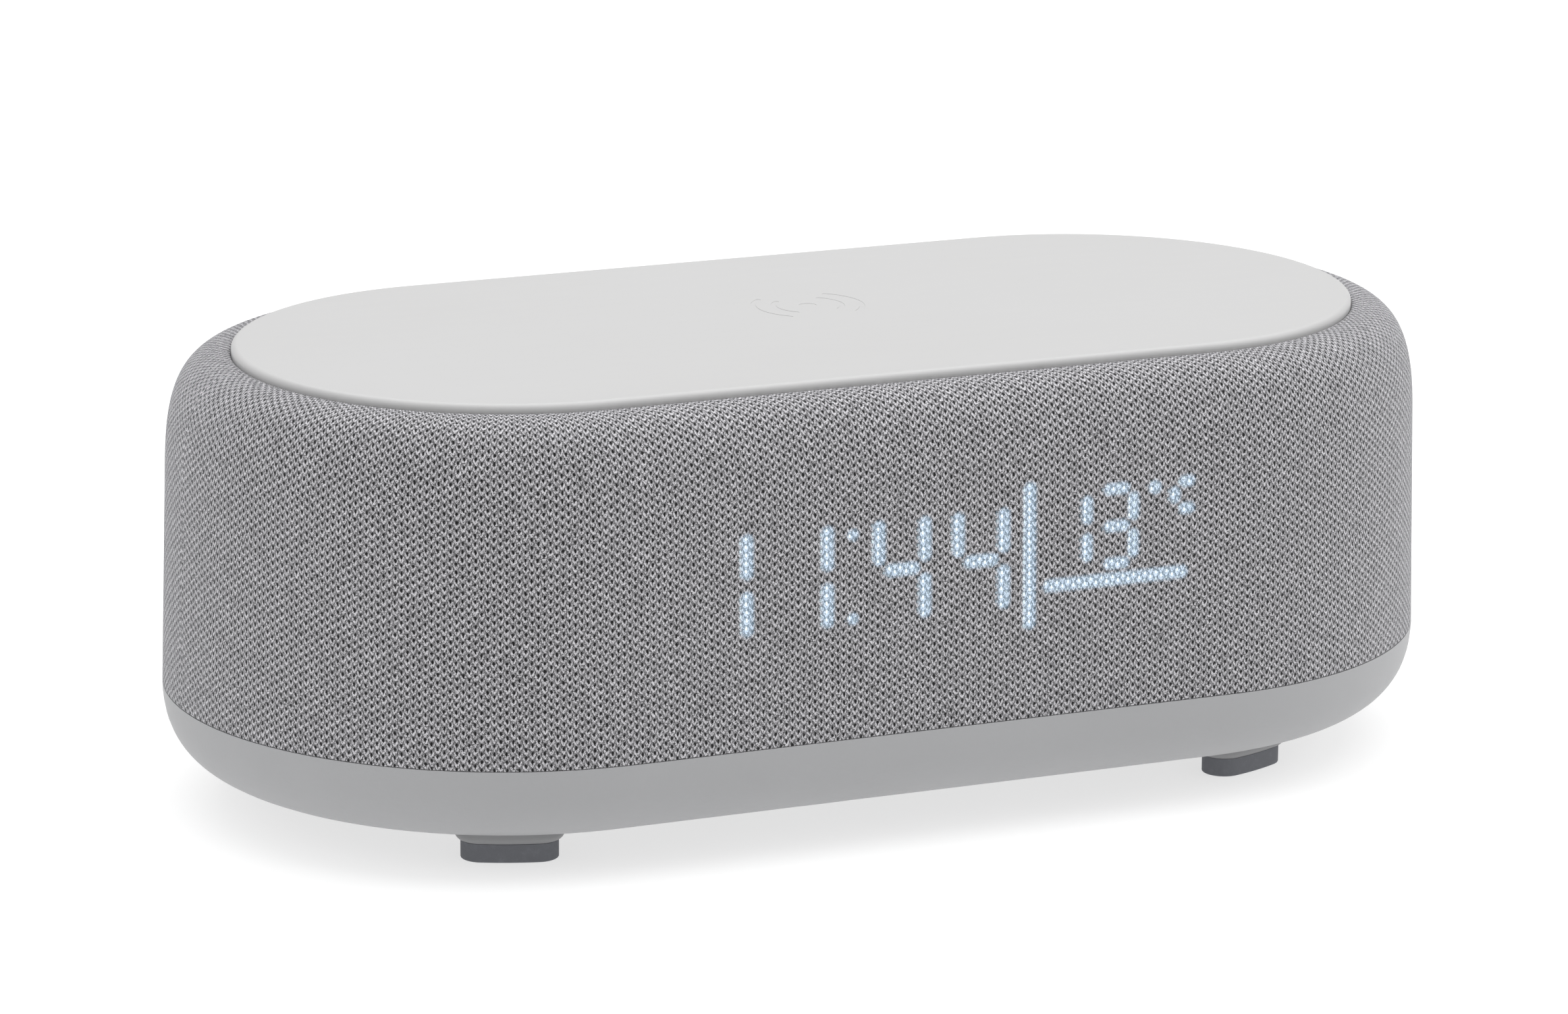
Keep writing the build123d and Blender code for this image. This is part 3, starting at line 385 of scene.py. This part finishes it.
def metal(name, colour, roughness, brushed=(1.0, 1.0, 30.0)):
    """Drawn or turned metal; brushed squeezes the grain into lines, axis by axis."""
    graph = Graph(name)
    at = graph.place()
    lines = graph.noise(graph.vector("MULTIPLY", at, brushed), 500.0, 3.0, 0.7)
    tarnish = graph.smooth(graph.noise(at, 90.0, 3.0), 0.35, 0.75)
    graph.surface(
        Base_Color=graph.colour(tarnish, colour, tone(0.78, colour)),
        Metallic=1.0,
        Roughness=graph.math("MULTIPLY_ADD", lines, 0.22, roughness - 0.08),
        Normal=graph.bump(lines, 0.01 * MM, 0.5),
    )
    return graph.material


def circuit_board(name):
    """Green solder mask over a maze of copper tracks, with tinned pads."""
    graph = Graph(name)
    at = graph.place()
    squares = graph.vector("SNAP", at, (1.3 * MM, 1.3 * MM, 1.3 * MM))
    tracks = graph.node("ShaderNodeTexBrick", [("Vector", at), ("Scale", 260.0), ("Mortar Size", 0.06)])
    pads = graph.smooth(graph.noise(squares, 900.0, 0.0), 0.64, 0.66)
    mask = graph.colour(tracks.outputs["Fac"], (0.012, 0.11, 0.045), (0.03, 0.20, 0.085))
    graph.surface(
        Base_Color=graph.colour(pads, mask, (0.62, 0.60, 0.55)),
        Metallic=pads,
        Roughness=graph.blend(pads, 0.28, 0.34),
        Coat_Weight=0.3,
        Normal=graph.bump(graph.math("ADD", tracks.outputs["Fac"], pads), 0.03 * MM, 0.6),
    )
    return graph.material


def cloth_like(name, colour, dark, scale):
    """Woven, pressed or dipped fibre for the moving speaker pieces."""
    graph = Graph(name)
    at = graph.place()
    weave = graph.node("ShaderNodeTexWave", [("Vector", at), ("Scale", scale), ("Distortion", 2.0)])
    fibre = graph.noise(at, scale * 2.3, 3.0, 0.7)
    both = graph.math("MULTIPLY", weave.outputs["Fac"], fibre)
    graph.surface(
        Base_Color=graph.colour(both, dark, colour),
        Roughness=graph.math("MULTIPLY_ADD", fibre, 0.1, 0.82),
        Normal=graph.bump(both, 0.05 * MM, 0.7),
    )
    return graph.material


def glowing(name, colour, strength):
    """A frosted insert with light in it."""
    graph = Graph(name)
    frost = graph.noise(graph.place(), 1200.0, 2.0)
    graph.surface(
        Base_Color=(0.8, 0.85, 0.9, 1.0),
        Roughness=graph.math("MULTIPLY_ADD", frost, 0.15, 0.4),
        Emission_Color=graph.colour(frost, tone(0.85, colour), colour),
        Emission_Strength=strength,
    )
    return graph.material


def frosted(name):
    """Thin diffuser film."""
    graph = Graph(name)
    haze = graph.noise(graph.place(), 900.0, 3.0)
    graph.surface(
        Base_Color=graph.colour(haze, (0.72, 0.73, 0.75), (0.85, 0.86, 0.87)),
        Roughness=graph.math("MULTIPLY_ADD", haze, 0.2, 0.45),
        Alpha=0.4,
    )
    return graph.material


def deck_plastic(name):
    """The white satin deck: very even, with a soft gloss that wanders a little."""
    graph = Graph(name)
    at = graph.place()
    cloud = graph.noise(at, 14.0, 2.0)
    smear = graph.noise(graph.vector("MULTIPLY", at, (1.0, 3.0, 1.0)), 60.0, 4.0, 0.6)
    fine = graph.noise(at, 4200.0, 2.0, 0.6)
    graph.surface(
        Base_Color=graph.colour(cloud, (0.493, 0.49, 0.488), (0.508, 0.508, 0.51)),
        Roughness=graph.math("MULTIPLY_ADD", smear, 0.10, 0.36),
        Specular_IOR_Level=0.32,
        Normal=graph.bump(fine, 0.006 * MM, 0.6),
    )
    return graph.material


def slot_materials():
    """One material for each of the record's slots, except the cover's."""
    return {
        "white_plastic": deck_plastic("white_plastic"),
        "grey_plastic": moulded("grey_plastic", (0.37, 0.372, 0.38), 0.48, 0.03, painted_shade=PAD_PAINTED_SHADE),
        "button_plastic": moulded("button_plastic", (0.52, 0.52, 0.535), 0.42, 0.02),
        "shell_plastic": moulded("shell_plastic", (0.55, 0.55, 0.56), 0.5),
        "black_plastic": moulded("black_plastic", (0.03, 0.03, 0.033), 0.42),
        "cream_plastic": moulded("cream_plastic", (0.68, 0.63, 0.50), 0.45),
        "reflector_plastic": moulded("reflector_plastic", (0.74, 0.75, 0.77), 0.38),
        "board_parts": moulded("board_parts", (0.035, 0.035, 0.04), 0.34, 0.03, 3000.0),
        "unlit_stroke": moulded("unlit_stroke", (0.42, 0.43, 0.46), 0.3),
        "ribbon": moulded("ribbon", (0.72, 0.72, 0.74), 0.32),
        "lead_jacket": moulded("lead_jacket", (0.36, 0.02, 0.02), 0.35),
        "cell_sleeve": moulded("cell_sleeve", (0.02, 0.14, 0.36), 0.25, 0.01),
        "ferrite": moulded("ferrite", (0.045, 0.045, 0.05), 0.6, 0.04, 1500.0),
        "magnet": moulded("magnet", (0.07, 0.07, 0.075), 0.55, 0.04, 1500.0),
        "basket_metal": moulded("basket_metal", (0.045, 0.045, 0.05), 0.4, 0.02),
        "foot_rubber": rubber("foot_rubber", (0.155, 0.16, 0.175)),
        "surround_rubber": rubber("surround_rubber", (0.03, 0.03, 0.033)),
        "steel_screw": metal("steel_screw", (0.62, 0.61, 0.60), 0.32),
        "steel_socket": metal("steel_socket", (0.66, 0.66, 0.66), 0.26, (1.0, 30.0, 1.0)),
        "nickel_tab": metal("nickel_tab", (0.66, 0.62, 0.56), 0.3),
        "pole_steel": metal("pole_steel", (0.50, 0.50, 0.50), 0.35),
        "coil_copper": metal("coil_copper", (0.84, 0.36, 0.16), 0.24, (40.0, 40.0, 1.0)),
        "green_board": circuit_board("green_board"),
        "cone_paper": cloth_like("cone_paper", (0.10, 0.10, 0.105), (0.05, 0.05, 0.053), 900.0),
        "spider_cloth": cloth_like("spider_cloth", (0.60, 0.38, 0.16), (0.32, 0.18, 0.07), 1400.0),
        "lit_stroke": glowing("lit_stroke", (0.62, 0.80, 1.0), 3.0),
        "light_chip": glowing("light_chip", (1.0, 0.86, 0.45), 0.3),
        "diffuser": frosted("diffuser"),
    }


def dress_nodes():
    """Gives every CAD node the procedural material of its slot."""
    made = slot_materials()
    for part in frame["record"]["subparts"]:
        material = made.get(part["material_slot"])
        if material is None:
            continue
        mesh = frame["nodes"][part["node"]].data
        mesh.materials.clear()
        mesh.materials.append(material)


# ---------------------------------------------------------------- the knitted cover
def bezier(start, first, second, end, count):
    """Points along a cubic curve, both ends included."""
    corners = (start, first, second, end)
    points = []
    for i in range(count + 1):
        t = i / count
        weights = ((1 - t) ** 3, 3 * t * (1 - t) ** 2, 3 * t * t * (1 - t), t**3)
        points.append(sum((w * p for w, p in zip(weights, corners)), Vector((0, 0))))
    return points


def cover_profile():
    """The cloth's outer line as (distance from the spine, height), from hem fold to seam tuck."""
    shoulder, seam = Vector((END_R - WALL_LEAN, WALL_TOP_Z)), Vector((SEAM_R, SEAM_Z))
    fold_z = HEM_Z + HEM_LIFT
    points = [Vector((END_R - FOLD, fold_z)), Vector((END_R - 1.6 * HEM_TURN_R, fold_z))]
    turn_centre = Vector((END_R - HEM_TURN_R, fold_z + HEM_TURN_R))
    for i in range(TURN_STEPS + 1):
        angle = math.pi / 2 * (i / TURN_STEPS - 1)
        points.append(turn_centre + HEM_TURN_R * Vector((math.cos(angle), math.sin(angle))))
    wall_foot = points[-1]
    points += [wall_foot.lerp(shoulder, i / WALL_STEPS) for i in range(1, WALL_STEPS)]

    slope = WALL_LEAN / (WALL_TOP_Z - HEM_Z)
    reach = SHOULDER_FULLNESS * (seam.y - shoulder.y)
    first = shoulder + Vector((-slope * reach, reach))
    second = seam + Vector((SHOULDER_FULLNESS * (shoulder.x - seam.x), 0))
    points += bezier(shoulder, first, second, seam + Vector((0.45, 0)) * MM, SHOULDER_STEPS)
    points += [seam + Vector(step) * MM for step in ((0.12, -0.14), (0, -0.5))]
    points.append(seam + Vector((0, -TUCK)))
    return points


def inward(profile):
    """The same line moved in by the cloth's thickness, so that the pair closes into a sheet."""
    moved = []
    for i, point in enumerate(profile):
        before, after = profile[max(i - 1, 0)], profile[min(i + 1, len(profile) - 1)]
        along = (after - before).normalized()
        moved.append(point + CLOTH_T * Vector((-along.y, along.x)))
    return moved


def run_round(distance):
    """The spine point and the outward direction for a distance along the outline.

    The distance starts at the left end's tip and runs over the front to the right end's tip.
    """
    quarter = END_R * math.pi / 2
    straight = 2 * HALF_STRAIGHT
    if distance <= quarter:
        angle = math.pi + distance / END_R
        return Vector((-HALF_STRAIGHT, 0)), Vector((math.cos(angle), math.sin(angle)))
    if distance <= quarter + straight:
        return Vector((-HALF_STRAIGHT + distance - quarter, 0)), Vector((0, -1))
    angle = -math.pi / 2 + (distance - quarter - straight) / END_R
    return Vector((HALF_STRAIGHT, 0)), Vector((math.cos(angle), math.sin(angle)))


def cover_panel(name, side, material):
    """Half of the cover, side -1 for the front and 1 for the back, as a thin closed sheet."""
    outer = cover_profile()
    inner = inward(outer)
    wales = 2 * round(COVER_LENGTH / WALE / 2)
    steps = wales // 2
    ring = outer + inner[::-1]
    climbed = [0.0]
    for a, b in zip(outer, outer[1:]):
        climbed.append(climbed[-1] + (b - a).length)
    heights = [c / COURSE for c in climbed]
    heights += heights[::-1]

    work = bmesh.new()
    layer = work.loops.layers.uv.new("Stitches")
    rows, columns = [], []
    for i in range(steps + 1):
        middle, out = run_round(COVER_LENGTH * i / steps)
        row = []
        for r, z in ring:
            x, y = middle + out * r
            row.append(work.verts.new((x, -side * y, z)))
        rows.append(row)
        columns.append(wales * i / steps)
    count = len(ring)
    for i in range(steps):
        for k in range(count):
            n = (k + 1) % count
            corners = [(i, k), (i + 1, k), (i + 1, n), (i, n)]
            if side > 0:
                corners.reverse()
            face = work.faces.new([rows[a][b] for a, b in corners])
            face.smooth = True
            for loop, (a, b) in zip(face.loops, corners):
                loop[layer].uv = (columns[a], heights[b])
    for row, flip in ((rows[0], side < 0), (rows[-1], side > 0)):
        for k in range(len(outer) - 1):
            corners = [row[k], row[k + 1], row[count - 2 - k], row[count - 1 - k]]
            face = work.faces.new(corners if flip else corners[::-1])
            for edge in face.edges:
                edge.smooth = False
    bmesh.ops.recalc_face_normals(work, faces=work.faces)
    mesh = bpy.data.meshes.new(name)
    work.to_mesh(mesh)
    work.free()
    mesh.materials.append(material)
    piece = bpy.data.objects.new(name, mesh)
    bpy.context.scene.collection.objects.link(piece)
    return piece


def cut_panel_opening(cloth):
    """Cuts the stadium-shaped opening for the rear panel, whose lip lies behind the cloth."""
    half_wide = panel_high[0] - PANEL_LIP + PANEL_CLEARANCE
    half_high = (panel_high[2] - panel_low[2]) / 2 - PANEL_LIP + PANEL_CLEARANCE
    centre_z = (panel_high[2] + panel_low[2]) / 2
    run = half_wide - half_high
    outline = []
    for turn, x in ((0, run), (math.pi, -run)):
        for i in range(OPENING_STEPS + 1):
            angle = turn - math.pi / 2 + math.pi * i / OPENING_STEPS
            outline.append((x + half_high * math.cos(angle), centre_z + half_high * math.sin(angle)))

    # the cutter reaches from well inside the cloth to well outside it
    work = bmesh.new()
    near = [work.verts.new((x, END_R - 8 * MM, z)) for x, z in outline]
    far = [work.verts.new((x, END_R + 4 * MM, z)) for x, z in outline]
    work.faces.new(near)
    work.faces.new(far[::-1])
    for i in range(len(outline)):
        n = (i + 1) % len(outline)
        work.faces.new((near[i], far[i], far[n], near[n]))
    bmesh.ops.recalc_face_normals(work, faces=work.faces)
    mesh = bpy.data.meshes.new("opening")
    work.to_mesh(mesh)
    work.free()
    cutter = bpy.data.objects.new("opening", mesh)
    bpy.context.scene.collection.objects.link(cutter)
    cut = cloth.modifiers.new("opening", "BOOLEAN")
    cut.operation = "DIFFERENCE"
    cut.solver = "EXACT"
    cut.object = cutter
    apply_modifiers(cloth)
    bpy.data.objects.remove(cutter)


def apply_modifiers(piece):
    evaluated = piece.evaluated_get(bpy.context.evaluated_depsgraph_get())
    shaped = bpy.data.meshes.new_from_object(evaluated)
    piece.modifiers.clear()
    piece.data = shaped


def make_cover():
    """The front and the back panel, which together replace the CAD cover."""
    front = cover_panel("cover_front", -1, knit_material("knit_front", True))
    back = cover_panel("cover_back", 1, knit_material("knit_back", False))
    cut_panel_opening(back)
    profile = cover_profile()
    for piece in (front, back):
        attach(piece, "case")
    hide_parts("fabric_cover")
    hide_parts("fabric_cover")


# ---------------------------------------------------------------- the speakers' rings, copied
def stretch_ring(node):
    """Copies a ring in place, with its shape unchanged, and hides the CAD ring."""
    low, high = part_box(node)
    middle_y, middle_z = (low[1] + high[1]) / 2, (low[2] + high[2]) / 2
    ring = bpy.data.objects.new(f"{node}_soft", frame["nodes"][node].data.copy())
    bpy.context.scene.collection.objects.link(ring)

    shape = [vertex.co.copy() for vertex in ring.data.vertices]
    for vertex, spot in zip(ring.data.vertices, shape):
        vertex.co = (math.hypot(spot.y - middle_y, spot.z - middle_z), 0, 0)
    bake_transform(ring)
    for vertex, spot in zip(ring.data.vertices, shape):
        vertex.co = spot
    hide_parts(node)
    return ring


def make_speaker_rings():
    """The surround and the spider of each speaker."""
    for side in ("left", "right"):
        surround = stretch_ring(f"cone_surround_{side}")
        spider = stretch_ring(f"cone_spider_{side}")


# ---------------------------------------------------------------- studio
def make_floor():
    """A white floor that brightens away from the object, so that only the object's shadow shows."""
    graph = Graph("studio_floor")
    at = graph.place()
    patch = graph.noise(at, 3.0, 2.0)
    away = graph.vector("LENGTH", at)
    graph.surface(
        Base_Color=graph.colour(patch, (0.41, 0.41, 0.41), (0.43, 0.43, 0.43)),
        Roughness=0.7,
        Specular_IOR_Level=0.2,
        Emission_Color=(1.0, 1.0, 1.0, 1.0),
        Emission_Strength=graph.math("ADD", graph.smooth(away, 0.3, 1.2, 0.31), 0.64),
    )
    mesh = bpy.data.meshes.new("studio_floor")
    reach = 6.0
    corners = [(-reach, -reach, 0), (reach, -reach, 0), (reach, reach, 0), (-reach, reach, 0)]
    mesh.from_pydata(corners, [], [(0, 1, 2, 3)])
    mesh.materials.append(graph.material)
    floor = bpy.data.objects.new("studio_floor", mesh)
    bpy.context.scene.collection.objects.link(floor)


def soft_light(name, place, size, power):
    """A rectangle of light at place, facing the object."""
    lamp = bpy.data.lights.new(name, "AREA")
    lamp.shape = "RECTANGLE"
    lamp.size, lamp.size_y = size
    lamp.energy = power
    holder = bpy.data.objects.new(name, lamp)
    holder.location = place
    holder.rotation_euler = (Vector(place) - LIGHT_AIM).to_track_quat("Z", "Y").to_euler()
    bpy.context.scene.collection.objects.link(holder)


def make_studio():
    """Floor, white surroundings and three soft lamps."""
    make_floor()
    world = bpy.data.worlds.new("studio")
    world.use_nodes = True
    background = world.node_tree.nodes["Background"]
    background.inputs["Color"].default_value = (1.0, 1.0, 1.0, 1.0)
    background.inputs["Strength"].default_value = 0.5
    bpy.context.scene.world = world
    soft_light("overhead", (0.1, 0.15, 1.3), (2.2, 1.8), 23.2)
    soft_light("left", (-1.4, -0.3, 1.1), (0.9, 0.9), 4.0)
    soft_light("right", (1.4, -0.5, 0.8), (0.8, 0.8), 6.5)
    bpy.context.scene.view_settings.view_transform = "Standard"
    bpy.context.scene.view_settings.look = "None"


def make_camera():
    """A long lens, turned by azimuth from the front, by elevation from the level, then by roll."""
    azimuth, elevation, roll = (math.radians(a) for a in (VIEW_AZIMUTH, VIEW_ELEVATION, VIEW_ROLL))
    level = Vector((math.sin(azimuth), -math.cos(azimuth), 0.0))
    back = level * math.cos(elevation) + Vector((0.0, 0.0, math.sin(elevation)))
    right = (-back).cross(Vector((0, 0, 1))).normalized()
    up = right.cross(-back)
    tilted_right = right * math.cos(roll) + up * math.sin(roll)
    tilted_up = up * math.cos(roll) - right * math.sin(roll)
    lens = bpy.data.cameras.new("view")
    lens.lens = LENS_MM
    lens.sensor_width = 36.0
    lens.dof.use_dof = False
    camera = bpy.data.objects.new("view", lens)
    turned = Matrix((tilted_right, tilted_up, back)).transposed().to_4x4()
    camera.matrix_world = Matrix.Translation(VIEW_TARGET + back * VIEW_DISTANCE) @ turned
    bpy.context.scene.collection.objects.link(camera)
    bpy.context.scene.camera = camera


dress_nodes()
make_cover()
make_speaker_rings()
make_studio()
make_camera()
